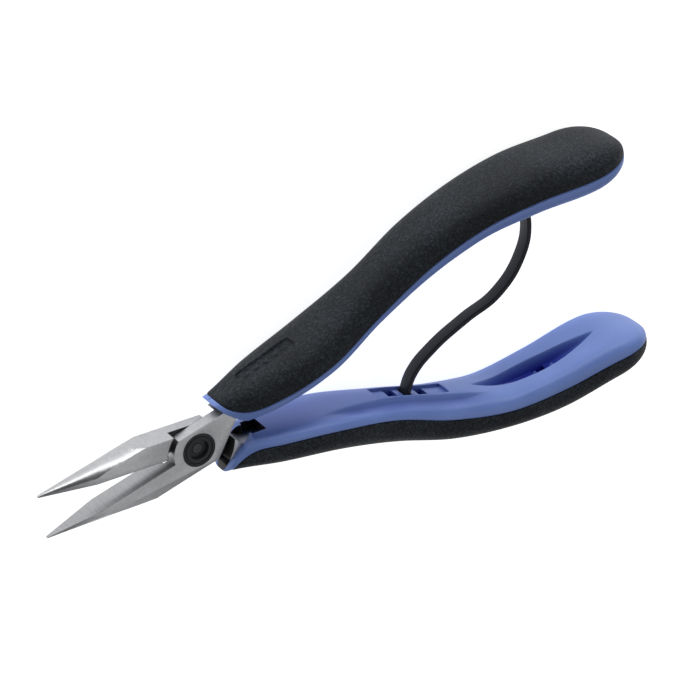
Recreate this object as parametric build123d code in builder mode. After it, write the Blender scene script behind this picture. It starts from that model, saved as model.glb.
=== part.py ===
"""Long nosed precision pliers with a lap joint and a leaf spring, in millimetres.

The frame: the pivot axis is Z, and the origin is where it leaves the back of the pivot pin.
+Z points out of the face that carries the pivot nut, +X towards the handles, and +Y towards
the handle that holds the spring. The pliers are drawn as the spring holds them, open.
"""
import os
from math import asin, atan2, copysign, cos, degrees, radians, sin, sqrt

from build123d import *

os.makedirs("parts", exist_ok=True)

# ---- driving dimensions ------------------------------------------------------------------

half_opening = 7.9          # each half is turned this many degrees away from the closed line
plate = 2.75                # thickness of one lap, half the thickness of the steel
lap_gap = 0.015             # each lap face stands this far off the plane between the laps
pin_proud = 0.2             # the pin's head stands this far out of the steel's back
lap_z = pin_proud + plate   # height of the plane between the laps

# steel halves, in their own frame: x along the closed pliers, y towards the half's own handle
half_height = 4.9           # the lap is twice this across
jaw_tip_x = -37.4           # from the pivot to the tips
tip_radius = 0.38           # of the half round nose, at the tip
nose_start_x = -12.5        # the half round nose starts here
nose_radius = 5.65          # of the half round nose, where it starts
side_taper_x = -24.5        # the sides start to close in here
tip_half_width = 0.35       # at the tip, across the sides
grip_relief = 0.03          # each grip face stands this far off the closed line
lap_radius = 6.1            # round end of the lap, beside the jaw of the other half
jaw_pocket_radius = 7.6     # the pocket for the other half's lap, on the jaw's side
tang_pocket_radius = 8.7    # and on the tang's side
shoulder_low_x = 3.45       # the slanting shoulder runs from here, at the lap's edge
shoulder_top = (10.4, 1.9)  # up to here, where the tang leaves it
tang_outer_side = [(12.0, half_height), (19.0, 6.2), (34.0, 8.0), (49.0, 11.3)]
tang_inner_side = [(50.0, 8.6), (34.0, 4.8), (19.0, 3.0), (12.2, 2.6)]
past_steel = 60             # cuts and blanks that reach past everything go out to here

# pivot
pin_radius = 2.2
pin_clearance = 0.03
pin_head_radius = 3.3
pin_head_depth = 1.0        # how deep the head is let into the steel
stub_radius = 1.2           # the pin's thin end, which the nut holds
nut_radius = 3.9
nut_clearance = 0.05
nut_thickness = 1.6
nut_recess_radius = 2.3
nut_recess_depth = 0.9
stub_proud = 0.1            # the thin end stands this far above the nut's recess
pivot_chamfer = 0.15

# handle: where it is widest, and how far it reaches from there to each side
squareness = 3.3            # of the outer side: 2 would make it oval, and more makes it squarer
# x, seam y, half width, depth of the shell's inner side, depth of the grip's outer side,
# and squareness of the inner side
handle_sizes = [
    (4.0, 4.8, 3.2, 3.4, 4.0, 3.3),
    (18.0, 5.5, 7.1, 2.8, 6.0, 3.3),
    (32.0, 8.3, 8.1, 3.05, 6.6, 2.8),
    (46.0, 13.5, 6.5, 4.55, 7.2, 2.0),
    (60.0, 20.0, 7.2, 5.3, 6.7, 2.0),
    (74.0, 24.0, 8.3, 4.4, 5.9, 2.6),
    (88.0, 24.7, 9.0, 4.2, 6.6, 3.3),
    (102.0, 23.9, 9.4, 4.4, 6.2, 3.3),
    (116.0, 24.4, 9.2, 3.6, 4.8, 3.3),
]
section_step = 7.0
cap_start_x = 103.0         # the rounded end starts to close in here
handle_end_x = 114.4
cap_squareness = 2.3
grip_skin = 1.8             # thickness of the soft grip over the shell's core
core_ends_x = (18.0, 102.0)
core_under = 1.0            # the core's blank reaches this far below the seam
# three points of a curve each: the shell's front edge, then the grip's front edge behind it
shell_front = [(5.0, 9.2), (8.2, 5.2), (12.8, 2.2)]
grip_front = [(6.3, 9.4), (9.2, 6.2), (13.4, 4.95)]
past_handle = 60            # cuts and blanks that reach past the whole handle go out to here
seam_end = (122.0, 27.0)    # the seam between shell and grip runs on past the end to here
mouth_end_x = 16.3          # the slot that the tang leaves by ends here
mouth_top_y = 6.0
pocket_end_x = 7.4          # the front of the shell stays hollow over the tang up to here
pocket_top_y = 7.6
panel_ends_x = (13.4, 27.4)  # the sunk panel on each grip's back
panel_width = 3.8
panel_corner = 0.9
panel_depth = 0.5

# where the spring stands in the ladder, and how it leaves the other handle
ladder_x = 52.4             # middle notch
notch_pitch = 3.7
notch_length = 2.1
notch_half_width = 1.9
notch_depth = 2.4
channel_ends_x = (44.3, 62.1)
channel_width = 4.6
channel_depth = 0.8
anchor_x = 87.6
scoop_ends_x = (68.2, 101.0)
scoop_half_width = 3.1
scoop_depth = 3.0
spring_thickness = 1.2
spring_width = 3.5
foot_size = (3.0, 2.6, 4.4)   # along x, into the handle and across
# the spring's middle line between its root and its tip
spring_bends = [(88.9, 15.6), (86.1, 8.0), (78.8, 1.5), (69.9, -1.0), (60.9, -4.2), (54.8, -8.1)]
spring_tip_lead = 0.5       # the tip stands this far in front of the middle notch's middle
spring_tip_depth = 1.0      # and this far inside the notch
spring_root_lift = 0.2      # the root starts this far under the scoop's floor


# ---- steel halves ------------------------------------------------------------------------

tilt = radians(half_opening)
lap_origin = (0, 0, lap_z)
front_plane = Plane(origin=lap_origin, x_dir=(cos(tilt), sin(tilt), 0), z_dir=(0, 0, 1))
rear_plane = Plane(origin=lap_origin, x_dir=(cos(tilt), -sin(tilt), 0), z_dir=(0, 0, -1))


def forging(plane):
    """One steel half, jaw and tang in one piece. The other half is the same one, turned over."""
    arc_turn = degrees(asin(half_height / lap_radius))
    top_x = -sqrt(lap_radius**2 - half_height**2)
    with BuildPart() as half:
        with BuildSketch(plane):
            with BuildLine():
                Line((jaw_tip_x, -grip_relief), (-lap_radius, -grip_relief))
                Line((-lap_radius, -grip_relief), (-lap_radius, 0))
                CenterArc((0, 0), lap_radius, 180, -arc_turn)
                Polyline(
                    (top_x, half_height), *tang_outer_side, *tang_inner_side, shoulder_top,
                    (shoulder_low_x, -half_height), (jaw_tip_x, -half_height),
                    (jaw_tip_x, -grip_relief),
                )
            make_face()
        extrude(amount=plate, both=True)
        # the nose: half round, and wide enough behind it to leave the rest alone
        with BuildSketch(plane):
            with BuildLine():
                Polyline(
                    (jaw_tip_x, 0), (jaw_tip_x, tip_radius), (nose_start_x, nose_radius),
                    (nose_start_x, past_steel), (past_steel, past_steel), (past_steel, 0),
                    close=True,
                )
            make_face()
        axis = Axis(plane.origin, plane.x_dir)
        revolve(axis=axis, mode=Mode.INTERSECT)
        # the sides close in towards the tip
        sides = Plane(origin=plane.origin, x_dir=plane.x_dir, z_dir=plane.y_dir)
        with BuildSketch(sides):
            with BuildLine():
                Polyline(
                    (jaw_tip_x, -tip_half_width), (side_taper_x, -plate), (past_steel, -plate),
                    (past_steel, plate), (side_taper_x, plate), (jaw_tip_x, tip_half_width),
                    close=True,
                )
            make_face()
        extrude(amount=past_steel, both=True, mode=Mode.INTERSECT)
        # the pocket that the other half's lap turns in
        for radius, side in ((jaw_pocket_radius, -1), (tang_pocket_radius, 1)):
            with BuildSketch(plane.offset(lap_gap)):
                Circle(radius)
                with Locations((side * radius / 2, 0)):
                    Rectangle(radius, 2 * radius, mode=Mode.INTERSECT)
            extrude(amount=-2 * plate, mode=Mode.SUBTRACT)
    return half.part


front_forging = forging(front_plane)
rear_forging = forging(rear_plane)
front_face_z = lap_z + plate
nut_seat_z = front_face_z - nut_thickness

with BuildPart() as front_half:
    add(front_forging)
    with BuildSketch():
        Circle(pin_radius + pin_clearance)
    extrude(amount=2 * front_face_z, mode=Mode.SUBTRACT)
    with BuildSketch(Plane.XY.offset(nut_seat_z)):
        Circle(nut_radius + nut_clearance)
    extrude(amount=2 * nut_thickness, mode=Mode.SUBTRACT)

with BuildPart() as rear_half:
    add(rear_forging)
    with BuildSketch():
        Circle(pin_radius)
    extrude(amount=2 * front_face_z, mode=Mode.SUBTRACT)
    with BuildSketch():
        Circle(pin_head_radius)
    extrude(amount=pin_proud + pin_head_depth, mode=Mode.SUBTRACT)

# ---- pivot -------------------------------------------------------------------------------

recess_floor_z = front_face_z - nut_recess_depth

with BuildPart() as pivot_pin:
    with BuildSketch():
        Circle(pin_head_radius)
    extrude(amount=pin_proud + pin_head_depth)
    with BuildSketch():
        Circle(pin_radius)
    extrude(amount=nut_seat_z)
    with BuildSketch():
        Circle(stub_radius)
    extrude(amount=recess_floor_z + stub_proud)
    chamfer(pivot_pin.edges().group_by(Axis.Z)[-1], pivot_chamfer)

with BuildPart() as pivot_nut:
    with BuildSketch(Plane.XY.offset(nut_seat_z + pin_clearance)):
        Circle(nut_radius)
        Circle(stub_radius, mode=Mode.SUBTRACT)
    extrude(amount=nut_thickness - pin_clearance)
    with BuildSketch(Plane.XY.offset(recess_floor_z)):
        Circle(nut_recess_radius)
    extrude(amount=nut_recess_depth, mode=Mode.SUBTRACT)
    chamfer(pivot_nut.edges().group_by(Axis.Z)[-1], pivot_chamfer)

# ---- handles -----------------------------------------------------------------------------


def section_plane(x):
    """Across the handle at x, with the sketch's y along +Y."""
    return Plane(origin=(x, 0, lap_z), x_dir=(0, 0, -1), z_dir=(1, 0, 0))


def half_oval(half_width, seam, depth, square):
    """Points of a squarish half oval from one side of the seam to the other."""
    power = 2 / square
    points = [(half_width, seam)]
    for turn in (7, 22, 42, 66, 90, 114, 138, 158, 173):
        across = copysign(abs(cos(radians(turn))) ** power, cos(radians(turn)))
        points.append((half_width * across, seam + depth * sin(radians(turn)) ** power))
    return points + [(-half_width, seam)]


def sizes_at(x):
    """Seam, half width, both depths and inner squareness at x, on curves through handle_sizes."""
    count = len(handle_sizes)
    step = next((i for i in range(count - 1) if x <= handle_sizes[i + 1][0]), count - 2)
    before, here, there, after = (
        handle_sizes[min(max(i, 0), count - 1)] for i in range(step - 1, step + 3)
    )
    t = (x - here[0]) / (there[0] - here[0])
    values = []
    for a, b, c, d in zip(before[1:], here[1:], there[1:], after[1:]):
        slopes = (c - a) / 2, (d - b) / 2
        bend = (3 * (c - b) - 2 * slopes[0] - slopes[1]) * t**2
        twist = (2 * (b - c) + slopes[0] + slopes[1]) * t**3
        values.append(b + slopes[0] * t + bend + twist)
    closing = max(0, (x - cap_start_x) / (handle_end_x - cap_start_x))
    scale = (1 - closing**cap_squareness) ** (1 / cap_squareness)
    seam, half_width, inner_depth, outer_depth, inner_square = values
    return seam, half_width * scale, inner_depth * scale, outer_depth * scale, inner_square


def seam_at(x):
    return sizes_at(x)[0]


def inner_face_at(x):
    seam, _, inner_depth, _, _ = sizes_at(x)
    return seam - inner_depth


def back_at(x):
    seam, _, _, outer_depth, _ = sizes_at(x)
    return seam + outer_depth


station_count = 15
straight_stations = [handle_sizes[0][0] + section_step * step for step in range(station_count)]
cap_length = handle_end_x - cap_start_x
cap_stations = [cap_start_x + cap_length * sin(radians(turn)) for turn in (25, 45, 62, 75, 84)]
core_stations = [x for x in straight_stations if core_ends_x[0] <= x <= core_ends_x[1]]

with BuildPart() as handle_blank:
    for x in straight_stations + cap_stations:
        seam, half_width, inner_depth, outer_depth, inner_square = sizes_at(x)
        with BuildSketch(section_plane(x)):
            with BuildLine():
                Spline(half_oval(half_width, seam, outer_depth, squareness))
                Spline(half_oval(half_width, seam, -inner_depth, inner_square))
            make_face()
    loft()
    # the front is cut back in a curve, so the steel shows on the inner side
    with BuildSketch():
        with BuildLine():
            ThreePointArc(*shell_front)
            Polyline(
                shell_front[-1], (shell_front[-1][0], -past_handle), (-past_handle, -past_handle),
                (-past_handle, past_handle), (shell_front[0][0], past_handle), shell_front[0],
            )
        make_face()
    extrude(amount=past_handle, both=True, mode=Mode.SUBTRACT)

with BuildPart() as core_blank:
    for x in core_stations:
        seam, half_width, _, outer_depth, _ = sizes_at(x)
        width = half_width - grip_skin
        with BuildSketch(section_plane(x)):
            with BuildLine():
                Spline(half_oval(width, seam, outer_depth - grip_skin, squareness))
                Polyline(
                    (-width, seam), (-width, seam - core_under), (width, seam - core_under),
                    (width, seam),
                )
            make_face()
    loft()

with BuildPart() as grip_zone:
    with BuildSketch():
        with BuildLine():
            Line((grip_front[0][0], past_handle), grip_front[0])
            ThreePointArc(*grip_front)
            seam_points = [(x, seam_at(x)) for x in straight_stations[2:]]
            Spline(grip_front[-1], *seam_points, seam_end)
            Polyline(seam_end, (seam_end[0], past_handle), (grip_front[0][0], past_handle))
        make_face()
    extrude(amount=past_handle, both=True)

# a plane that lies along the inner face at the ladder, with its z into the handle
ladder_front_x, ladder_rear_x = channel_ends_x
ladder_rise = inner_face_at(ladder_rear_x) - inner_face_at(ladder_front_x)
ladder_slope = atan2(ladder_rise, ladder_rear_x - ladder_front_x)
ladder_plane = Plane(
    origin=(ladder_x, inner_face_at(ladder_x), lap_z),
    x_dir=(cos(ladder_slope), sin(ladder_slope), 0),
    z_dir=(-sin(ladder_slope), cos(ladder_slope), 0),
)
ladder_scale = 1 / cos(ladder_slope)
scoop_plane = Plane(origin=(0, 0, lap_z), x_dir=(1, 0, 0), z_dir=(0, 1, 0))
scoop_middle_x = sum(scoop_ends_x) / 2
scoop_floor_y = inner_face_at(anchor_x) + scoop_depth
foot_length, foot_depth, foot_width = foot_size

# a plane across the grip's back under the sunk panel, with its z out of the grip
panel_front = Vector(panel_ends_x[0], back_at(panel_ends_x[0]), lap_z)
panel_rear = Vector(panel_ends_x[1], back_at(panel_ends_x[1]), lap_z)
panel_line = panel_rear - panel_front
panel_plane = Plane(
    origin=(panel_front + panel_rear) / 2,
    x_dir=panel_line,
    z_dir=(-panel_line.Y, panel_line.X, 0),
).offset(-panel_depth)

with BuildPart() as upper_grip:
    add(handle_blank.part)
    add(grip_zone.part, mode=Mode.INTERSECT)
    add(core_blank.part, mode=Mode.SUBTRACT)
    add(front_forging, mode=Mode.SUBTRACT)
    with BuildSketch(panel_plane):
        RectangleRounded(panel_line.length, panel_width, panel_corner)
    extrude(amount=4 * panel_depth, mode=Mode.SUBTRACT)

with BuildPart() as upper_handle_shell:
    add(handle_blank.part)
    add(grip_zone.part, mode=Mode.SUBTRACT)
    add(core_blank.part)
    # slot and hollow at the front
    with BuildSketch(Plane.XY.offset(lap_z)):
        with BuildLine():
            Polyline(
                (-past_handle, -past_handle), (mouth_end_x, -past_handle),
                (mouth_end_x, mouth_top_y), (pocket_end_x, mouth_top_y),
                (pocket_end_x, pocket_top_y), (-past_handle, pocket_top_y), close=True,
            )
        make_face()
    extrude(amount=plate, both=True, mode=Mode.SUBTRACT)
    add(front_forging, mode=Mode.SUBTRACT)
    # the ladder: a shallow channel with three notches across it
    with BuildSketch(ladder_plane):
        middle = (ladder_front_x + ladder_rear_x) / 2 - ladder_x
        with Locations((middle * ladder_scale, 0)):
            Rectangle((ladder_rear_x - ladder_front_x) * ladder_scale, channel_width)
    extrude(amount=channel_depth, both=True, mode=Mode.SUBTRACT)
    with BuildSketch(ladder_plane):
        with GridLocations(notch_pitch * ladder_scale, 1, 3, 1):
            Rectangle(notch_length * ladder_scale, 2 * notch_half_width)
    extrude(amount=notch_depth, both=True, mode=Mode.SUBTRACT)
    # the long scoop, and the socket for the spring's foot in its floor
    with BuildSketch(scoop_plane):
        with BuildLine():
            for side in (1, -1):
                ThreePointArc(
                    (scoop_ends_x[0], 0), (scoop_middle_x, side * scoop_half_width),
                    (scoop_ends_x[1], 0),
                )
        make_face()
    extrude(amount=scoop_floor_y, mode=Mode.SUBTRACT)
    with BuildSketch(scoop_plane):
        with Locations((anchor_x, 0)):
            Rectangle(foot_length, foot_width)
    extrude(amount=scoop_floor_y + foot_depth, mode=Mode.SUBTRACT)

with BuildPart() as lower_grip:
    add(mirror(upper_grip.part, about=Plane.XZ))

with BuildPart() as lower_handle_shell:
    add(mirror(upper_handle_shell.part, about=Plane.XZ))

# ---- leaf spring -------------------------------------------------------------------------

spring_tip = (ladder_x - spring_tip_lead, -inner_face_at(ladder_x) - spring_tip_depth)
spring_root = (anchor_x, scoop_floor_y + spring_root_lift)

with BuildPart() as leaf_spring:
    with BuildLine() as blade:
        Spline(spring_root, *spring_bends, spring_tip)
    with BuildSketch(Plane.XY.offset(lap_z - spring_width / 2)):
        trace(blade.line, line_width=spring_thickness)
    extrude(amount=spring_width)

with BuildPart() as spring_foot:
    with BuildSketch(scoop_plane.offset(scoop_floor_y)):
        with Locations((anchor_x, 0)):
            Rectangle(foot_length, foot_width)
    extrude(amount=foot_depth)
    add(leaf_spring.part, mode=Mode.SUBTRACT)

# ---- the pieces, one file each -----------------------------------------------------------

pieces = {
    "front_half": front_half,
    "rear_half": rear_half,
    "pivot_pin": pivot_pin,
    "pivot_nut": pivot_nut,
    "upper_handle_shell": upper_handle_shell,
    "upper_grip": upper_grip,
    "lower_handle_shell": lower_handle_shell,
    "lower_grip": lower_grip,
    "leaf_spring": leaf_spring,
    "spring_foot": spring_foot,
}
for name, piece in pieces.items():
    piece.part.label = name
    export_step(piece.part, f"parts/{name}.step")
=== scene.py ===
"""Looks of the long nosed pliers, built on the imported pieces.

Sizes are in millimetres until a mesh is made, because the handles' rules are in millimetres.
"""
from math import cos, hypot, inf, pi, radians, sin, sqrt

import bmesh
import bpy
import numpy as np
from mathutils import Matrix, Vector


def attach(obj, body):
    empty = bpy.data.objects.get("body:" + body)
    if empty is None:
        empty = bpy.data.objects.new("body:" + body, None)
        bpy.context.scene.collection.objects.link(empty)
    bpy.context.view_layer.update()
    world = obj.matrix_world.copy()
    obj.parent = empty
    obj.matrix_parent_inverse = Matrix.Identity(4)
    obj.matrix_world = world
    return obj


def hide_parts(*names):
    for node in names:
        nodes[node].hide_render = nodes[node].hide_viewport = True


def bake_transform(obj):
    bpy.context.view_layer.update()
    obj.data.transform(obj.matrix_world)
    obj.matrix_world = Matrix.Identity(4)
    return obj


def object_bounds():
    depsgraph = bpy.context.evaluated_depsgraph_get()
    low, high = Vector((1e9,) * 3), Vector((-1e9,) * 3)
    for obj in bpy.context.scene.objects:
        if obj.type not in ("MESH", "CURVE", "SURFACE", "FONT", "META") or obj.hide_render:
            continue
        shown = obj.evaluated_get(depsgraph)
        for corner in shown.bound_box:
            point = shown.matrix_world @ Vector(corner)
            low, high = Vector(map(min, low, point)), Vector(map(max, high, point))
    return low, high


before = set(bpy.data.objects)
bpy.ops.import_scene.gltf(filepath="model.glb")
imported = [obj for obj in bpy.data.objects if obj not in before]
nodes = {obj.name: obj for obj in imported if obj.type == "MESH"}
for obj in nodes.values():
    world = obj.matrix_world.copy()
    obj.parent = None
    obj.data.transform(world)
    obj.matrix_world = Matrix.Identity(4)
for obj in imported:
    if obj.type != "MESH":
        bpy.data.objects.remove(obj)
cad_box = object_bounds()

MM = 0.001
LAP_Z = 2.95
FRONT_FACE_Z = 5.7
HALF_OPENING = 7.9


# ---- camera, floor and light --------------------------------------------------------------

def add_camera():
    data = bpy.data.cameras.new("camera")
    data.lens = 193.73
    data.sensor_width = 36
    data.clip_start = 0.01
    camera = bpy.data.objects.new("camera", data)
    right = (0.8338, -0.1441, 0.5329)
    up = (0.3997, 0.8234, -0.4029)
    back = (-0.3807, 0.5489, 0.7441)
    turn = Matrix((right, up, back)).transposed().to_4x4()
    camera.matrix_world = Matrix.Translation((-0.2687, 0.4509, 0.60795)) @ turn
    bpy.context.scene.collection.objects.link(camera)
    bpy.context.scene.camera = camera


def add_soft_light(name, place, target, size, watts, tint=(1, 1, 1)):
    data = bpy.data.lights.new(name, "AREA")
    data.shape = "RECTANGLE"
    data.size, data.size_y = size
    data.energy = watts
    data.color = tint
    light = bpy.data.objects.new(name, data)
    light.location = place
    aim = Vector(target) - Vector(place)
    light.rotation_euler = aim.to_track_quat("-Z", "Y").to_euler()
    bpy.context.scene.collection.objects.link(light)


def add_studio():
    world = bpy.data.worlds.new("studio")
    world.use_nodes = True
    background = world.node_tree.nodes["Background"]
    background.inputs["Color"].default_value = (0.95, 0.97, 1.0, 1)
    background.inputs["Strength"].default_value = 0.24
    scene = bpy.context.scene
    scene.world = world
    scene.view_settings.view_transform = "Standard"
    middle = (0.045, 0, 0)
    add_soft_light("top_softbox", (0.25, -0.02, 1.1), middle, (1.0, 0.45), 1.6)
    add_soft_light("back_softbox", (0.4, 1.1, 0.17), middle, (1.5, 0.26), 7.5)
    add_soft_light("front_softbox", (0.5, -0.6, 0.85), middle, (0.9, 0.5), 0.9)
    add_soft_light("side_softbox", (-0.95, -0.1, 0.45), middle, (0.5, 0.4), 0.4)
    # a dark card between the two upper lights, which shows as the streak along the round nose
    mesh = bpy.data.meshes.new("dark_card")
    centre, across, along = Vector((0.15, 0.42, 0.4)), Vector((0.45, 0, 0)), Vector((0, -0.19, 0.21))
    corners = [centre - across - along, centre + across - along, centre + across + along,
               centre - across + along]
    mesh.from_pydata(corners, [], [(0, 1, 2, 3)])
    card_black = Finish("card_black", Roughness=1.0, Specular_IOR_Level=0.0)
    card_black.shader.inputs["Base Color"].default_value = (0.004, 0.004, 0.004, 1)
    mesh.materials.append(card_black.material)
    card = bpy.data.objects.new("dark_card", mesh)
    scene.collection.objects.link(card)
    card.visible_camera = False
    card.visible_diffuse = False


# ---- shader toolkit -----------------------------------------------------------------------

class Value:
    """A socket that takes part in sums."""

    def __init__(self, finish, socket):
        self.finish = finish
        self.socket = socket

    def sum(self, operation, first, second=None, third=None):
        values = {0: first}
        if second is not None:
            values[1] = second
        if third is not None:
            values[2] = third
        return self.finish.node("ShaderNodeMath", {"operation": operation}, values)[0]

    def __add__(self, other):
        return self.sum("ADD", self, other)

    def __radd__(self, other):
        return self.sum("ADD", other, self)

    def __sub__(self, other):
        return self.sum("SUBTRACT", self, other)

    def __rsub__(self, other):
        return self.sum("SUBTRACT", other, self)

    def __mul__(self, other):
        return self.sum("MULTIPLY", self, other)

    def __rmul__(self, other):
        return self.sum("MULTIPLY", other, self)

    def __truediv__(self, other):
        return self.sum("DIVIDE", self, other)

    def __pow__(self, other):
        return self.sum("POWER", self, other)

    def size(self):
        return self.sum("ABSOLUTE", self)

    def below(self, limit, softness):
        """1 where the value is under the limit, falling to 0 over the softness."""
        values = {"Value": self, "From Min": limit - softness, "From Max": limit + softness,
                  "To Min": 1, "To Max": 0}
        settings = {"interpolation_type": "SMOOTHSTEP"}
        return self.finish.node("ShaderNodeMapRange", settings, values)[0]


class Finish:
    """A new material, its node tree and its main shader."""

    def __init__(self, name, **fixed):
        self.material = bpy.data.materials.new(name)
        self.material.use_nodes = True
        self.tree = self.material.node_tree
        self.shader = self.tree.nodes["Principled BSDF"]
        for socket, value in fixed.items():
            self.shader.inputs[socket.replace("_", " ")].default_value = value

    def node(self, kind, settings=None, values=None):
        made = self.tree.nodes.new(kind)
        for name, value in (settings or {}).items():
            if name == "stops":
                ramp = made.color_ramp
                while len(ramp.elements) < len(value):
                    ramp.elements.new(1)
                for element, (place, colour) in zip(ramp.elements, value):
                    element.position = place
                    element.color = (*colour, 1)
            else:
                setattr(made, name, value)
        for name, value in (values or {}).items():
            socket = made.inputs[name]
            if isinstance(value, Value):
                self.tree.links.new(value.socket, socket)
            else:
                socket.default_value = value
        return [Value(self, out) for out in made.outputs if out.enabled]

    def place(self, turn=0.0, stretch=(1, 1, 1)):
        """The point on the piece, in metres, turned about Z by an angle."""
        point = self.node("ShaderNodeTexCoord")[3]
        values = {"Vector": point, "Rotation": (0, 0, turn), "Scale": stretch}
        return self.node("ShaderNodeMapping", None, values)[0]

    def noise(self, point, scale, detail=3.0, roughness=0.5):
        values = {"Vector": point, "Scale": scale, "Detail": detail, "Roughness": roughness}
        return self.node("ShaderNodeTexNoise", None, values)[0]

    def mix(self, factor, low, high):
        """From one colour to the other as the factor goes from 0 to 1."""
        made = self.tree.nodes.new("ShaderNodeMix")
        made.data_type = "RGBA"
        for socket, value in zip((made.inputs[0], made.inputs[6], made.inputs[7]),
                                 (factor, low, high)):
            if isinstance(value, Value):
                self.tree.links.new(value.socket, socket)
            elif socket.type == "RGBA":
                socket.default_value = (*value, 1)
            else:
                socket.default_value = value
        return Value(self, made.outputs[2])

    def feed(self, socket, value):
        self.tree.links.new(value.socket, self.shader.inputs[socket])

    def bump(self, height, depth, strength=1.0):
        """The height goes from 0 to 1, and the depth is in millimetres."""
        values = {"Height": height, "Distance": depth * MM, "Strength": strength}
        self.feed("Normal", self.node("ShaderNodeBump", None, values)[0])


# ---- finishes -----------------------------------------------------------------------------

def steel_finish(name, turn, pocket_below):
    """Blasted steel, with fine ground lines across the jaw's grip face."""
    finish = Finish(name, Metallic=1.0, Specular_IOR_Level=0.5)
    point = finish.place(turn=-turn)
    axes = finish.node("ShaderNodeSeparateXYZ", None, {"Vector": point})
    ground = (axes[1].size() * 1000).below(0.12, 0.06) * (axes[0] * 1000).below(-6.0, 0.4)
    lines = finish.noise(finish.place(-turn, (14000, 300, 260)), 1.0, 3, 0.7)
    grain = finish.noise(point, 4800, 5, 0.75)
    cloud = finish.noise(point, 160, 3)
    spots = finish.noise(point, 900, 2)
    tone = cloud * 0.1 + spots * 0.2 + grain * 0.7
    blasted = finish.node("ShaderNodeValToRGB", {"stops": [
        (0.32, (0.33, 0.335, 0.345)), (0.5, (0.43, 0.435, 0.445)), (0.68, (0.55, 0.555, 0.565)),
    ]}, {"Fac": tone})[0]
    lined = finish.node("ShaderNodeValToRGB", {"stops": [
        (0.3, (0.27, 0.275, 0.285)), (0.7, (0.46, 0.465, 0.475)),
    ]}, {"Fac": lines})[0]
    # painted shade: the pocket for the other half's lap is painted near black, where shade falls in it
    on_tang_side = 1 - (axes[0] * 1000).below(0, 0.2)
    reach = (axes[0] * axes[0] + axes[1] * axes[1]) ** 0.5 * 1000 - on_tang_side * 1.1
    height = axes[2] * 1000 - LAP_Z
    inside = height * (-1 if pocket_below else 1)
    painted_black_shade = reach.below(7.72, 0.08) * (1 - inside.below(-0.1, 0.03))
    bare = finish.mix(ground, blasted, lined)
    finish.feed("Base Color", finish.mix(painted_black_shade * 0.9, bare, (0.03, 0.03, 0.033)))
    nose = (axes[0] * 1000).below(-13, 3.0)
    finish.feed("Roughness", 0.34 + grain * 0.12 + cloud * 0.08 - nose * 0.07)
    finish.bump(grain * (1 - ground) + lines * ground, 0.012, 0.6)
    return finish.material


def blackened_finish(name, light, dark, wear_scale):
    """Steel blackened by heat and oil, a little uneven."""
    finish = Finish(name, Metallic=0.2, Specular_IOR_Level=0.3)
    point = finish.place()
    grain = finish.noise(point, 4200, 4, 0.6)
    cloud = finish.noise(point, wear_scale, 4, 0.6)
    finish.feed("Base Color", finish.mix(cloud * 0.7 + grain * 0.3, dark, light))
    finish.feed("Roughness", 0.3 + cloud * 0.2 + grain * 0.08)
    finish.bump(grain, 0.008, 0.5)
    return finish.material


def shell_finish():
    """Blue moulded plastic, with painted shade in its hollows: a deeper blue, going on to near black
    in the deepest.
    """
    finish = Finish("shell_blue", IOR=1.49, Specular_IOR_Level=0.5)
    point = finish.place()
    grain = finish.noise(point, 2600, 4, 0.6)
    cloud = finish.noise(point, 110, 3)
    # painted shade: this attribute darkens the blue where the inner face is set in, and from 1 up
    # paints it on towards near black
    sunk = finish.node("ShaderNodeAttribute", {"attribute_name": "sunk"})[2]
    face = finish.mix(cloud * 0.6 + grain * 0.4, (0.1, 0.175, 0.47), (0.19, 0.29, 0.66))
    blue_with_painted_shade = finish.mix(sunk.sum("MINIMUM", sunk, 1), face, (0.008, 0.022, 0.34))
    painted_black_shade = (sunk - 1).sum("MAXIMUM", sunk - 1, 0)
    finish.feed("Base Color", finish.mix(painted_black_shade, blue_with_painted_shade, (0.004, 0.004, 0.007)))
    finish.feed("Roughness", 0.36 + grain * 0.14 + cloud * 0.06)
    finish.bump(grain, 0.03, 0.35)
    return finish.material


def grip_finish():
    """Soft black rubber with a fine matt grain."""
    finish = Finish("grip_black", IOR=1.5, Specular_IOR_Level=0.2)
    point = finish.place()
    grain = finish.noise(point, 3400, 5, 0.7)
    mottle = finish.noise(point, 1500, 3, 0.6)
    cloud = finish.noise(point, 60, 3)
    tone = grain * 0.55 + mottle * 0.3 + cloud * 0.15
    finish.feed("Base Color", finish.node("ShaderNodeValToRGB", {"stops": [
        (0.4, (0.002, 0.003, 0.005)), (0.5, (0.01, 0.013, 0.017)), (0.6, (0.042, 0.05, 0.06)),
    ]}, {"Fac": tone})[0])
    finish.feed("Roughness", 0.46 + grain * 0.2 + cloud * 0.05)
    finish.bump(grain * 0.5 + mottle * 0.5, 0.35, 1.0)
    return finish.material


def floor_finish():
    finish = Finish("floor_pale", Specular_IOR_Level=0.2)
    fine = finish.noise(finish.place(), 60, 3)
    finish.feed("Base Color", finish.mix(fine, (0.86, 0.865, 0.87), (0.89, 0.895, 0.9)))
    finish.shader.inputs["Roughness"].default_value = 0.8
    finish.shader.inputs["Emission Color"].default_value = (1, 1, 1, 1)
    finish.shader.inputs["Emission Strength"].default_value = 0.82
    return finish.material


# ---- meshes -------------------------------------------------------------------------------

def mesh_piece(name, points, faces, material, sharp=50):
    """A piece from points in millimetres."""
    mesh = bpy.data.meshes.new(name)
    mesh.from_pydata((np.asarray(points) * MM).tolist(), [], faces)
    mesh.materials.append(material)
    mesh.shade_smooth()
    mesh.set_sharp_from_angle(angle=radians(sharp))
    piece = bpy.data.objects.new(name, mesh)
    bpy.context.scene.collection.objects.link(piece)
    return piece


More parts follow.
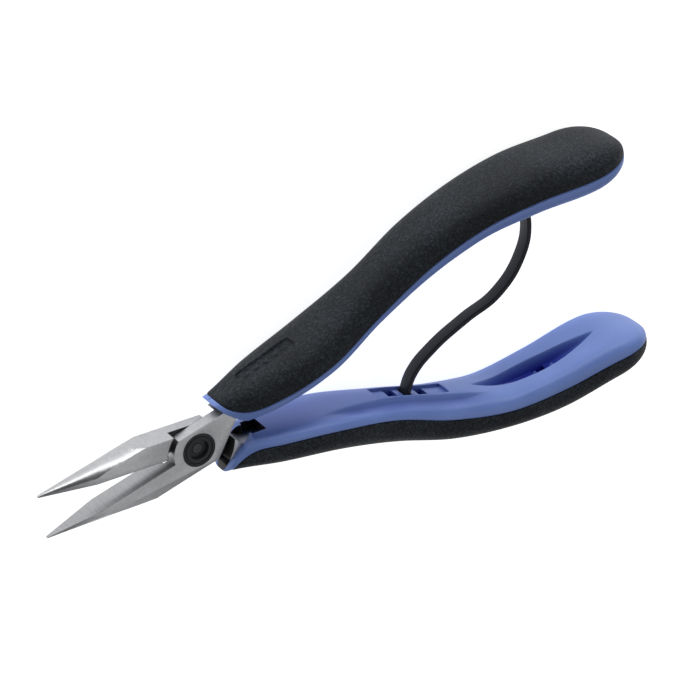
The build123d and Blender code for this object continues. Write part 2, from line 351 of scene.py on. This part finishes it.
def ring_faces(ring_count, around, flip):
    """Faces between rings of points, and a cap over each end."""
    faces = []
    for ring in range(ring_count - 1):
        for i in range(around):
            j = (i + 1) % around
            a, b = ring * around, (ring + 1) * around
            faces.append((a + i, a + j, b + j, b + i))
    start_pole = ring_count * around
    end_pole = start_pole + 1
    last = (ring_count - 1) * around
    for i in range(around):
        j = (i + 1) % around
        faces.append((start_pole, j, i))
        faces.append((end_pole, last + i, last + j))
    return [face[::-1] for face in faces] if flip else faces


# ---- the handles' shape -------------------------------------------------------------------

SQUARENESS = 3.3
CAP_START, CAP_END, CAP_SQUARENESS = 103.0, 114.4, 2.3
# x, seam y, half width, inner depth, outer depth, squareness of the inner side
HANDLE_SIZES = np.array([
    (4.0, 4.8, 3.2, 3.4, 4.0, 3.3),
    (18.0, 5.5, 7.1, 2.8, 6.0, 3.3),
    (32.0, 8.3, 8.1, 3.05, 6.6, 2.8),
    (46.0, 13.5, 6.5, 4.55, 7.2, 2.0),
    (60.0, 20.0, 7.2, 5.3, 6.7, 2.0),
    (74.0, 24.0, 8.3, 4.4, 5.9, 2.6),
    (88.0, 24.7, 9.0, 4.2, 6.6, 3.3),
    (102.0, 23.9, 9.4, 4.4, 6.2, 3.3),
    (116.0, 24.4, 9.2, 3.6, 4.8, 3.3),
])
SLOT_HALF_WIDTH = 2.75
MOUTH_END = 16.3
POCKET_END, POCKET_TOP, SLOT_TOP = 7.4, 7.6, 6.2
LADDER_ENDS, LADDER_MIDDLE, NOTCH_PITCH = (44.3, 62.1), 52.4, 3.7
SCOOP_ENDS, SCOOP_HALF_WIDTH, SCOOP_DEPTH = (68.2, 103.0), 3.0, 3.0
ANCHOR_X = 87.6
PANEL_ENDS, PANEL_HALF_WIDTH, PANEL_CORNER, PANEL_DEPTH = (13.4, 27.4), 1.9, 0.9, 0.5
GRIP_SKIN = 0.75
# how far to each side of its middle the inner face and the grip's back have lines of their own
INNER_REACH, BACK_REACH = 4.6, 2.7
# three points of a curve each: the shell's front edge, then the grip's front edge behind it
SHELL_FRONT = [(5.0, 9.2), (8.2, 5.2), (12.8, 2.2)]
GRIP_FRONT = [(6.3, 9.4), (9.2, 6.2), (13.4, 4.95)]
SHELL_LIP, SKIRT_DROP = 0.3, 0.35
GRIP_LIP, GRIP_PROUD = 0.42, 0.06
CHANNEL_HALF_WIDTH, CHANNEL_DEPTH = 2.22, 0.8
NOTCH_HALF_WIDTH, NOTCH_HALF_LENGTH, NOTCH_DEPTH = 1.92, 1.05, 2.6
SOCKET_HALF_WIDTH, SOCKET_HALF_LENGTH, SOCKET_DEPTH = 2.22, 1.5, 2.9
SCOOP_WALL = 0.75
# two small ears on the scoop's floor, in front of the socket and behind it
EAR_LEAD, EAR_LENGTH, EAR_ACROSS, EAR_WIDTH, EAR_RISE = 2.3, 0.75, 0.9, 1.1, 0.7
DISH_ENDS, DISH_DEPTH, DISH_HALF_WIDTH = (66, 108), 0.9, 7.6
SCALLOP_ENDS, SCALLOP_DEPTH = (28, 72), 1.15
PIP_PITCH, PIP_RADIUS, PIP_RISE = 2.4, 0.85, 0.55


def sizes_at(x):
    """Seam, half width, both depths and inner squareness at x, on curves through HANDLE_SIZES."""
    count = len(HANDLE_SIZES)
    step = next((i for i in range(count - 1) if x <= HANDLE_SIZES[i + 1][0]), count - 2)
    picks = [min(max(i, 0), count - 1) for i in range(step - 1, step + 3)]
    before, here, there, after = HANDLE_SIZES[picks]
    t = (x - here[0]) / (there[0] - here[0])
    rise, fall = (there - before) / 2, (after - here) / 2
    bend = (3 * (there - here) - 2 * rise - fall) * t**2
    twist = (2 * (here - there) + rise + fall) * t**3
    values = (here + rise * t + bend + twist)[1:]
    closing = min(max(0, (x - CAP_START) / (CAP_END - CAP_START)), 0.99995)
    scale = (1 - closing**CAP_SQUARENESS) ** (1 / CAP_SQUARENESS)
    return values * (1, scale, scale, scale, 1)


def arc_height(p, q, r):
    """The lower side of the circle through three points, as a height over x."""
    (ax, ay), (bx, by), (cx, cy) = p, q, r
    d = 2 * (ax * (by - cy) + bx * (cy - ay) + cx * (ay - by))
    a2, b2, c2 = ax**2 + ay**2, bx**2 + by**2, cx**2 + cy**2
    mx = (a2 * (by - cy) + b2 * (cy - ay) + c2 * (ay - by)) / d
    my = (a2 * (cx - bx) + b2 * (ax - cx) + c2 * (bx - ax)) / d
    radius = hypot(ax - mx, ay - my)
    return lambda x: my - sqrt(max(radius**2 - (x - mx) ** 2, 0))


front_cut = arc_height(*SHELL_FRONT)
grip_front = arc_height(*GRIP_FRONT)


def grip_edge(x):
    """Height of the line where the grip meets the shell."""
    (first_x, _), _, (last_x, last_y) = GRIP_FRONT
    if x <= last_x:
        return grip_front(max(x, first_x))
    seam = sizes_at(x)[0]
    t = (x - last_x) / 4.6
    if t >= 1:
        return seam
    ease = t * t * (3 - 2 * t)
    return (last_y + 0.035 * (x - last_x)) * (1 - ease) + seam * ease


def right_outline(x):
    """The section's right half, from the middle of the back to the middle of the inner face."""
    seam, half_width, inner_depth, outer_depth, inner_square = sizes_at(x)
    turn = (1 - np.cos(np.linspace(0, pi, 260))) * pi / 4
    sides = []
    for depth, square in ((outer_depth, SQUARENESS), (-inner_depth, inner_square)):
        across = half_width * np.cos(turn) ** (2 / square)
        sides.append(np.column_stack((across, seam + depth * np.sin(turn) ** (2 / square))))
    return np.vstack((sides[0][::-1], sides[1][1:]))


def lengths_along(path):
    return np.concatenate(((0,), np.cumsum(np.hypot(*np.diff(path, axis=0).T))))


def even_points(path, count):
    length = lengths_along(path)
    marks = np.linspace(0, length[-1], count)
    return np.column_stack([np.interp(marks, length, path[:, k]) for k in (0, 1)])


def softened(path, radius):
    """The path with its corners rounded off and its ends kept."""
    length = lengths_along(path)[-1]
    count = max(int(length / (radius / 3)), 12)
    even = even_points(path, count)
    for _ in range(5):
        even[1:-1] = (even[:-2] + even[1:-1] * 2 + even[2:]) / 4
    return even


def height_at(outline, across, back):
    """Height of the outline's back or inner side, this far across."""
    middle = int(np.argmax(outline[:, 0]))
    side = outline[:middle + 1] if back else outline[middle:][::-1]
    return np.interp(across, side[:, 0], side[:, 1])


def cut_at_height(outline, height):
    """Row number of the first outline point that is not above the height."""
    lower = np.nonzero(outline[:, 1] <= height)[0]
    return int(lower[0]) if len(lower) else len(outline) - 1


def end_fade(x):
    """1 along the handle, falling to 0 where its rounded end closes."""
    return min(sizes_at(x)[1] / 4, 1) ** 2


def smooth_step(t):
    t = np.clip(t, 0, 1)
    return t * t * (3 - 2 * t)


def edge_distance(x, heights, edge_line):
    """Distance from points at x to the grip's edge line, less than 0 on the shell's side."""
    first, last = np.searchsorted(edge_line[:, 0], (x - 1.2, x + 1.2))
    close = edge_line[max(first - 1, 0):last + 1]
    gaps = np.hypot(close[:, 0] - x, close[:, 1] - np.asarray(heights)[:, None])
    near = gaps.min(axis=1)
    above = (np.asarray(heights) > grip_edge(x)) & (x > GRIP_FRONT[0][0])
    return np.where(above, near, -near)


def rounded_lip(distance, radius):
    """How far a surface drops as it comes within the radius of its edge."""
    inside = radius - np.clip(distance, 0, radius)
    return np.sqrt(np.maximum(radius**2 - inside**2, 0)) - radius


def outward(ring):
    """Unit normals of a closed ring of (across, height) points."""
    along = np.roll(ring, -1, axis=0) - np.roll(ring, 1, axis=0)
    size = np.maximum(np.hypot(along[:, 0], along[:, 1]), 1e-6)
    normal = np.column_stack((along[:, 1], -along[:, 0])) / size[:, None]
    area = np.sum(ring[:, 0] * np.roll(ring[:, 1], -1) - ring[:, 1] * np.roll(ring[:, 0], -1))
    return normal if area > 0 else -normal


def lens_half_width(x):
    middle = sum(SCOOP_ENDS) / 2
    half = (SCOOP_ENDS[1] - SCOOP_ENDS[0]) / 2
    return SCOOP_HALF_WIDTH * np.maximum(1 - ((x - middle) / half) ** 2, 0)


def inner_hollow(x, across):
    """How far the shell's inner face is set in at a point, and how much painted shade it gets there.
    """
    reach = np.abs(across)
    depth = np.zeros_like(across)
    hollow_shade_amount = np.zeros_like(across)
    # a shallow dish at the rear, where the hand closes round the handle
    if DISH_ENDS[0] < x < DISH_ENDS[1]:
        fade = float(smooth_step((x - DISH_ENDS[0]) / 12) * smooth_step((DISH_ENDS[1] - x) / 11))
        depth = DISH_DEPTH * fade * np.maximum(1 - (across / DISH_HALF_WIDTH) ** 2, 0)
    half = lens_half_width(x)
    if half > 0:
        middle = sum(SCOOP_ENDS) / 2
        along = abs(x - middle) / ((SCOOP_ENDS[1] - SCOOP_ENDS[0]) / 2)
        bowl = SCOOP_DEPTH * (1 - along**2.4) * smooth_step((half - reach) / SCOOP_WALL)
        for side in (-1, 1):
            along_ear = (x - ANCHOR_X - side * EAR_LEAD) / EAR_LENGTH
            ear = np.exp(-along_ear**2 - ((across - EAR_ACROSS) / EAR_WIDTH) ** 2)
            bowl = bowl * (1 - EAR_RISE * ear)
        depth = depth + bowl
        # painted shade: the scoop is shaded as deep as it is, and its socket past 1 towards near black
        hollow_shade_amount = bowl / SCOOP_DEPTH
        if abs(x - ANCHOR_X) < SOCKET_HALF_LENGTH:
            depth = np.where(reach < SOCKET_HALF_WIDTH, SCOOP_DEPTH + SOCKET_DEPTH, depth)
            hollow_shade_amount = np.where(reach < SOCKET_HALF_WIDTH, 1.5, hollow_shade_amount)
    # a long scallop beside the ladder, with a crease along its upper edge
    if SCALLOP_ENDS[0] < x < SCALLOP_ENDS[1]:
        fade = smooth_step((x - SCALLOP_ENDS[0]) / 11) * smooth_step((SCALLOP_ENDS[1] - x) / 9)
        fade = float(fade)
        crease = 2.5 + 1.1 * (abs(x - 52) / 18) ** 1.6
        off = across - crease
        dip = smooth_step(off / 0.75) * (1 - smooth_step((off - 0.75) / 3.4))
        depth = depth + SCALLOP_DEPTH * fade * dip
        # painted shade: a little in the scallop
        hollow_shade_amount = np.maximum(hollow_shade_amount, 0.3 * fade * dip)
    if LADDER_ENDS[0] < x < LADDER_ENDS[1]:
        # painted shade: a little in the channel, and past 1 towards near black in the notches
        depth = np.where(reach < CHANNEL_HALF_WIDTH, CHANNEL_DEPTH, depth)
        hollow_shade_amount = np.where(reach < CHANNEL_HALF_WIDTH, 0.12, hollow_shade_amount)
        for k in (-1, 0, 1):
            if abs(x - LADDER_MIDDLE - k * NOTCH_PITCH) < NOTCH_HALF_LENGTH:
                depth = np.where(reach < NOTCH_HALF_WIDTH, NOTCH_DEPTH, depth)
                hollow_shade_amount = np.where(reach < NOTCH_HALF_WIDTH, 1.15, hollow_shade_amount)
    return depth, hollow_shade_amount


def panel_depth(x, across):
    """How deep the grip's back is set in: a rounded panel with a row of small raised pips."""
    middle = sum(PANEL_ENDS) / 2
    half = (PANEL_ENDS[1] - PANEL_ENDS[0]) / 2
    beyond_x = abs(x - middle) - (half - PANEL_CORNER)
    beyond_z = np.abs(across) - (PANEL_HALF_WIDTH - PANEL_CORNER)
    outside = np.hypot(np.maximum(beyond_x, 0), np.maximum(beyond_z, 0))
    inside = np.minimum(np.maximum(beyond_x, beyond_z), 0)
    depth = PANEL_DEPTH * (1 - smooth_step((outside + inside - PANEL_CORNER + 0.15) / 0.3))
    nearest = middle + PIP_PITCH * min(max(round((x - middle) / PIP_PITCH), -2), 2)
    pip = smooth_step((PIP_RADIUS - np.hypot(x - nearest, across)) / 0.3)
    return depth * (1 - PIP_RISE * pip)


def fine_lines(base, edges, offsets=(-0.4, -0.2, -0.06, 0.06, 0.2, 0.4)):
    """Even places, with closer ones on both sides of each edge."""
    extra = [edge + offset for edge in edges for offset in offsets]
    places = np.unique(np.round(np.concatenate((base, extra)), 3))
    keep = [places[0]]
    for place in places[1:]:
        if place - keep[-1] > 0.04:
            keep.append(place)
    return np.array(keep)


def stations(start):
    """Where the rings of a skin stand, closer together at every edge across the handle."""
    notches = [LADDER_MIDDLE + k * NOTCH_PITCH + side * NOTCH_HALF_LENGTH
               for k in (-1, 0, 1) for side in (-1, 1)]
    socket = (ANCHOR_X - SOCKET_HALF_LENGTH, ANCHOR_X + SOCKET_HALF_LENGTH)
    edges = [MOUTH_END, POCKET_END, *LADDER_ENDS, *notches, *socket, *PANEL_ENDS]
    front = start + (10 - start) * np.linspace(0, 1, 44) ** 1.6
    body = np.arange(10.3, CAP_START, 0.31)
    cap = CAP_START + (CAP_END - CAP_START) * np.sin(np.linspace(0.02, pi / 2 - 0.02, 34))
    return fine_lines(np.concatenate((front, body, cap)), edges)


def first_station(edge):
    """Where the handle's back first rises past a curve."""
    x = 5.0
    while sizes_at(x)[0] + sizes_at(x)[3] - edge(x) < 0.03:
        x += 0.005
    return x


inner_lines = fine_lines(np.arange(0, INNER_REACH, 0.17),
                         (NOTCH_HALF_WIDTH, CHANNEL_HALF_WIDTH, SLOT_HALF_WIDTH),
                         (-0.09, -0.03, 0.03, 0.09))
back_lines = fine_lines(np.arange(0, BACK_REACH, 0.2), (PANEL_HALF_WIDTH,), (-0.15, 0, 0.15))
grip_start = first_station(grip_edge)
edge_xs = np.concatenate((np.linspace(GRIP_FRONT[0][0], 20, 1400), np.arange(20.02, CAP_END, 0.02)))
edge_line = np.array([(x, grip_edge(x)) for x in edge_xs])


def shell_ring(x):
    """One ring of the shell: down the right side, over the inner face, and under the grip."""
    outline = right_outline(x)
    split = cut_at_height(outline, grip_edge(x)) if x > grip_start else 0
    bottom = front_cut(x) if x < SHELL_FRONT[-1][0] else -inf
    end = cut_at_height(outline, bottom)
    flat = end < len(outline) - 1
    reach = min(INNER_REACH, outline[end, 0] * 0.93 if flat else sizes_at(x)[1] * 0.8)
    lines = inner_lines[::-1] * (reach / INNER_REACH)
    if flat:
        side = np.vstack((outline[split:end], ((outline[end, 0], bottom), (reach, bottom))))
        heights = np.full(len(lines), bottom)
    else:
        middle = int(np.argmax(outline[:, 0]))
        far = middle + int(np.nonzero(outline[middle:, 0] <= reach)[0][0])
        side = outline[split:far + 1]
        heights = height_at(outline, lines, back=False)
    side = even_points(softened(side, 0.25), 31)[:-1]
    inner = np.column_stack((lines, heights))
    half = np.vstack((side, inner))
    left = half[::-1][1:] * (-1, 1)
    under = even_points(outline[:max(split, 2)], 12)
    over = np.vstack(((under[::-1] * (-1, 1))[1:], under[1:-1]))
    ring = np.vstack((half, left, over))
    lip = edge_distance(x, ring[:, 1], edge_line)
    row = np.arange(len(ring))
    skirt = row >= len(half) + len(left)
    drop = np.where(lip < 0, rounded_lip(-lip, SHELL_LIP), -SHELL_LIP)
    if x > grip_start:
        tucked = -SHELL_LIP - SKIRT_DROP * smooth_step(np.abs(lip) / SHELL_LIP)
        drop = np.where(skirt, tucked, drop)
    ring = ring + outward(ring) * (drop * end_fade(x))[:, None]
    hollow, hollow_shade_amount = np.zeros(len(ring)), np.zeros(len(ring))
    face = slice(12, len(half) + len(left) - 12)
    if x > 20:
        hollow[face], hollow_shade_amount[face] = inner_hollow(x, ring[face, 0])
    heights = ring[:, 1] + hollow
    facing_in = (row >= len(side)) & (row < len(side) + 2 * len(inner) - 1)
    narrowing = min(1, reach / INNER_REACH)
    # painted shade: the inside of the mouth slot gets the full painted shade, near black
    if x < MOUTH_END + 0.1:
        dark = np.abs(ring[:, 0]) < (SLOT_HALF_WIDTH + 0.05) * narrowing
        hollow_shade_amount = np.where(dark & facing_in, 2, hollow_shade_amount)
    if x < MOUTH_END:
        ceiling = POCKET_TOP if x < POCKET_END else SLOT_TOP
        inside = (np.abs(ring[:, 0]) < SLOT_HALF_WIDTH * narrowing) & facing_in
        raised = np.maximum(heights, np.minimum(ceiling, sizes_at(x)[0] + sizes_at(x)[3] - 1.2))
        heights = np.where(inside, raised, heights)
    points = np.column_stack((np.full(len(ring), x), heights, ring[:, 0] + LAP_Z))
    return points, hollow_shade_amount


def grip_rings(x):
    """The grip's outer ring at x, then its inner one, as one closed loop of points."""
    outline = right_outline(x)
    split = max(cut_at_height(outline, grip_edge(x)), 2)
    reach = min(BACK_REACH, outline[split, 0] * 0.93)
    lines = back_lines[back_lines < BACK_REACH] * (reach / BACK_REACH)
    far = int(np.nonzero(outline[:, 0] >= reach)[0][0])
    side = even_points(outline[min(far, split - 1):split + 1], 30)[1:]
    half = np.vstack((np.column_stack((lines, height_at(outline, lines, back=True))), side))
    arc = np.vstack((half[::-1][:-1] * (-1, 1), half))
    closed = np.vstack((arc, (0, sizes_at(x)[0] - 30)))
    normal = outward(closed)[:-1]
    normal[0], normal[-1] = normal[1], normal[-2]
    lip = np.abs(edge_distance(x, arc[:, 1], edge_line))
    outer = arc + normal * ((GRIP_PROUD + rounded_lip(lip, GRIP_LIP)) * end_fade(x))[:, None]
    outer[:, 1] -= panel_depth(x, arc[:, 0]) if x < 40 else 0
    under = arc - normal * (np.minimum(GRIP_SKIN, GRIP_LIP - GRIP_PROUD + lip) * end_fade(x))[:, None]
    loop = np.vstack((outer, under[::-1]))
    return np.column_stack((np.full(len(loop), x), loop[:, 1], loop[:, 0] + LAP_Z))


def build_skin(name, rings, material, mirror, sunk=None):
    """A closed skin over rings of points, turned over for the lower handle."""
    around = len(rings[0])
    points = np.vstack(rings)
    poles = np.vstack((rings[0].mean(axis=0), rings[-1].mean(axis=0)))
    points = np.vstack((points, poles))
    if mirror:
        points = points * (1, -1, 1)
    faces = ring_faces(len(rings), around, flip=mirror)
    piece = mesh_piece(name, points, faces, material)
    if sunk is not None:
        # painted shade: how much shade the shell's material paints at each point
        layer = piece.data.attributes.new("sunk", "FLOAT", "POINT")
        layer.data.foreach_set("value", np.concatenate((sunk, (0, 0))).astype(np.float32))
    outward_faces(piece)
    return piece


def outward_faces(piece):
    """Turns every face outwards and joins points that fall together."""
    work = bmesh.new()
    work.from_mesh(piece.data)
    bmesh.ops.remove_doubles(work, verts=work.verts, dist=0.002 * MM)
    bmesh.ops.recalc_face_normals(work, faces=work.faces)
    work.to_mesh(piece.data)
    work.free()


def add_handle(side, body, mirror):
    start = first_station(front_cut)
    rings, sunk = zip(*(shell_ring(x) for x in stations(start)))
    shell = build_skin(f"{side}_shell_moulding", rings, shell_blue, mirror, np.concatenate(sunk))
    grip = build_skin(f"{side}_grip_moulding", [grip_rings(x) for x in stations(grip_start)],
                      grip_black, mirror)
    for piece, node, slot in ((shell, f"{side}_handle_shell", "handle_shell"),
                              (grip, f"{side}_grip", "grip")):
        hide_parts(node)
        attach(piece, body)


# ---- steel pieces -------------------------------------------------------------------------

def add_steel_half(node, body, material):
    """The forging with its edges eased."""
    work = bmesh.new()
    work.from_mesh(nodes[node].data)
    bmesh.ops.remove_doubles(work, verts=work.verts, dist=0.002 * MM)
    bmesh.ops.dissolve_limit(work, angle_limit=radians(0.6), verts=work.verts, edges=work.edges)
    mesh = bpy.data.meshes.new(f"{node}_steel")
    work.to_mesh(mesh)
    work.free()
    mesh.materials.clear()
    mesh.materials.append(material)
    rough = bpy.data.objects.new("rough_half", mesh)
    bpy.context.scene.collection.objects.link(rough)
    ease = rough.modifiers.new("ease", "BEVEL")
    ease.width = 0.18 * MM
    ease.segments = 3
    ease.limit_method = "ANGLE"
    ease.angle_limit = radians(27)
    ease.use_clamp_overlap = True
    ease.harden_normals = False
    eased = bpy.data.meshes.new_from_object(rough.evaluated_get(bpy.context.evaluated_depsgraph_get()))
    bpy.data.objects.remove(rough)
    eased.shade_smooth()
    eased.set_sharp_from_angle(angle=radians(26))
    piece = bpy.data.objects.new(f"{node}_forging", eased)
    bpy.context.scene.collection.objects.link(piece)
    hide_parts(node)
    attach(piece, body)


def turned_piece(name, profile, material, steps=96):
    """A lathe-turned piece, from a profile of (radius, height) points."""
    points, faces = [], []
    for radius, height in profile:
        for k in range(steps):
            turn = 2 * pi * k / steps
            points.append((radius * cos(turn), radius * sin(turn), height))
    for row in range(len(profile) - 1):
        for k in range(steps):
            j = (k + 1) % steps
            a, b = row * steps, (row + 1) * steps
            faces.append((a + k, a + j, b + j, b + k))
    piece = mesh_piece(name, points, faces, material, sharp=35)
    outward_faces(piece)
    piece.data.set_sharp_from_angle(angle=radians(35))
    return piece


def add_pivot():
    face = FRONT_FACE_Z
    nut = turned_piece("pivot_nut_turned", [
        (1.22, 4.13), (3.82, 4.13), (3.9, 4.2), (3.9, face - 0.14), (3.86, face - 0.05),
        (3.78, face), (3.42, face), (3.36, face - 0.05), (3.3, face - 0.22), (3.12, face - 0.22),
        (3.06, face - 0.05), (3.0, face), (2.42, face), (2.34, face - 0.03), (2.28, face - 0.1),
        (2.26, face - 0.86), (2.2, face - 0.92), (1.3, face - 0.92), (1.22, face - 0.98),
        (1.22, 4.13),
    ], nut_black)
    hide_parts("pivot_nut")
    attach(nut, "rear_body")
    pin = turned_piece("pivot_pin_turned", [
        (0.0001, 0.05), (1.6, 0.03), (2.9, 0.0), (3.18, 0.04), (3.3, 0.16), (3.3, 1.2), (2.2, 1.2),
        (2.2, 4.08), (1.2, 4.08), (1.2, 4.78), (1.14, 4.86), (1.04, 4.9), (0.5, 4.88),
        (0.42, 4.8), (0.0001, 4.8),
    ], pin_dark)
    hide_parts("pivot_pin")
    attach(pin, "rear_body")


# ---- leaf spring, swept along its line by geometry nodes ----------------------------------

def spring_tree():
    tree = bpy.data.node_groups.new("swept_blade", "GeometryNodeTree")
    face = tree.interface
    face.new_socket("Line", in_out="INPUT", socket_type="NodeSocketGeometry")
    for name in ("Width", "Thickness", "Edge radius"):
        face.new_socket(name, in_out="INPUT", socket_type="NodeSocketFloat")
    face.new_socket("Rings", in_out="INPUT", socket_type="NodeSocketInt")
    face.new_socket("Finish", in_out="INPUT", socket_type="NodeSocketMaterial")
    face.new_socket("Blade", in_out="OUTPUT", socket_type="NodeSocketGeometry")

    def add(kind, **settings):
        made = tree.nodes.new(kind)
        for name, value in settings.items():
            setattr(made, name, value)
        return made

    given, result = add("NodeGroupInput"), add("NodeGroupOutput")
    rings = add("GeometryNodeResampleCurve")
    upright = add("GeometryNodeSetCurveNormal", mode="Z_UP")
    section = add("GeometryNodeCurvePrimitiveQuadrilateral")
    rounded = add("GeometryNodeFilletCurve", mode="POLY")
    sweep = add("GeometryNodeCurveToMesh")
    realize = add("GeometryNodeRealizeInstances")
    finish = add("GeometryNodeSetMaterial")
    sweep.inputs["Fill Caps"].default_value = True
    rounded.inputs["Count"].default_value = 3
    links = [
        (given.outputs["Line"], rings.inputs["Curve"]),
        (given.outputs["Rings"], rings.inputs["Count"]),
        (rings.outputs["Curve"], upright.inputs["Curve"]),
        (given.outputs["Thickness"], section.inputs["Width"]),
        (given.outputs["Width"], section.inputs["Height"]),
        (section.outputs["Curve"], rounded.inputs["Curve"]),
        (given.outputs["Edge radius"], rounded.inputs["Radius"]),
        (upright.outputs["Curve"], sweep.inputs["Curve"]),
        (rounded.outputs["Curve"], sweep.inputs["Profile Curve"]),
        (sweep.outputs["Mesh"], realize.inputs["Geometry"]),
        (realize.outputs["Geometry"], finish.inputs["Geometry"]),
        (given.outputs["Finish"], finish.inputs["Material"]),
        (finish.outputs["Geometry"], result.inputs["Blade"]),
    ]
    for out, into in links:
        tree.links.new(out, into)
    return tree


def add_spring():
    seam, _, depth, _, _ = sizes_at(ANCHOR_X)
    root = (ANCHOR_X, seam - depth + SCOOP_DEPTH + 1.2)
    seam, _, depth, _, _ = sizes_at(LADDER_MIDDLE)
    tip = (LADDER_MIDDLE - 0.7, depth - seam - 1.7)
    line = [root, (88.9, 15.6), (86.1, 8.0), (78.8, 1.5), (69.9, -1.0), (60.9, -4.2),
            (54.8, -8.1), tip]
    curve = bpy.data.curves.new("blade_line", "CURVE")
    curve.dimensions = "3D"
    curve.resolution_u = 24
    spline = curve.splines.new("BEZIER")
    spline.bezier_points.add(len(line) - 1)
    for knot, (x, y) in zip(spline.bezier_points, line):
        knot.co = Vector((x, y, LAP_Z)) * MM
        knot.handle_left_type = knot.handle_right_type = "AUTO"
    path = bpy.data.objects.new("blade_path", curve)
    bpy.context.scene.collection.objects.link(path)
    sweep = path.modifiers.new("sweep", "NODES")
    sweep.node_group = spring_tree()
    sizes = {"Width": 3.2 * MM, "Thickness": 1.1 * MM, "Edge radius": 0.22 * MM, "Rings": 120,
             "Finish": spring_black}
    for item in sweep.node_group.interface.items_tree:
        if item.name in sizes:
            sweep[item.identifier] = sizes[item.name]
    mesh = bpy.data.meshes.new_from_object(path.evaluated_get(bpy.context.evaluated_depsgraph_get()))
    bpy.data.objects.remove(path)
    mesh.shade_smooth()
    mesh.set_sharp_from_angle(angle=radians(40))
    blade = bpy.data.objects.new("leaf_spring_blade", mesh)
    bpy.context.scene.collection.objects.link(blade)
    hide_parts("leaf_spring")
    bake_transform(blade)


def add_floor():
    lowest = cad_box[0][2] - 0.06 * MM
    size = 1.6
    mesh = bpy.data.meshes.new("floor")
    corners = [(-size, -size, lowest), (size, -size, lowest), (size, size, lowest),
               (-size, size, lowest)]
    mesh.from_pydata(corners, [], [(0, 1, 2, 3)])
    mesh.materials.append(floor_finish())
    floor = bpy.data.objects.new("floor", mesh)
    bpy.context.scene.collection.objects.link(floor)


# ---- the whole object ---------------------------------------------------------------------

add_camera()
add_studio()
turn = radians(HALF_OPENING)
front_steel = steel_finish("front_steel", turn, pocket_below=True)
rear_steel = steel_finish("rear_steel", -turn, pocket_below=False)
pin_dark = blackened_finish("pin_dark", (0.09, 0.092, 0.1), (0.03, 0.032, 0.036), 400)
nut_black = blackened_finish("nut_black", (0.035, 0.037, 0.042), (0.012, 0.013, 0.016), 300)
spring_black = blackened_finish("spring_black", (0.014, 0.015, 0.019), (0.004, 0.0045, 0.006), 220)
shell_blue = shell_finish()
grip_black = grip_finish()
add_floor()
add_handle("upper", "front_body", mirror=False)
add_handle("lower", "rear_body", mirror=True)
add_steel_half("front_half", "front_body", front_steel)
add_steel_half("rear_half", "rear_body", rear_steel)
add_pivot()
add_spring()
for foot_slot in nodes["spring_foot"].material_slots:
    foot_slot.material = nut_black
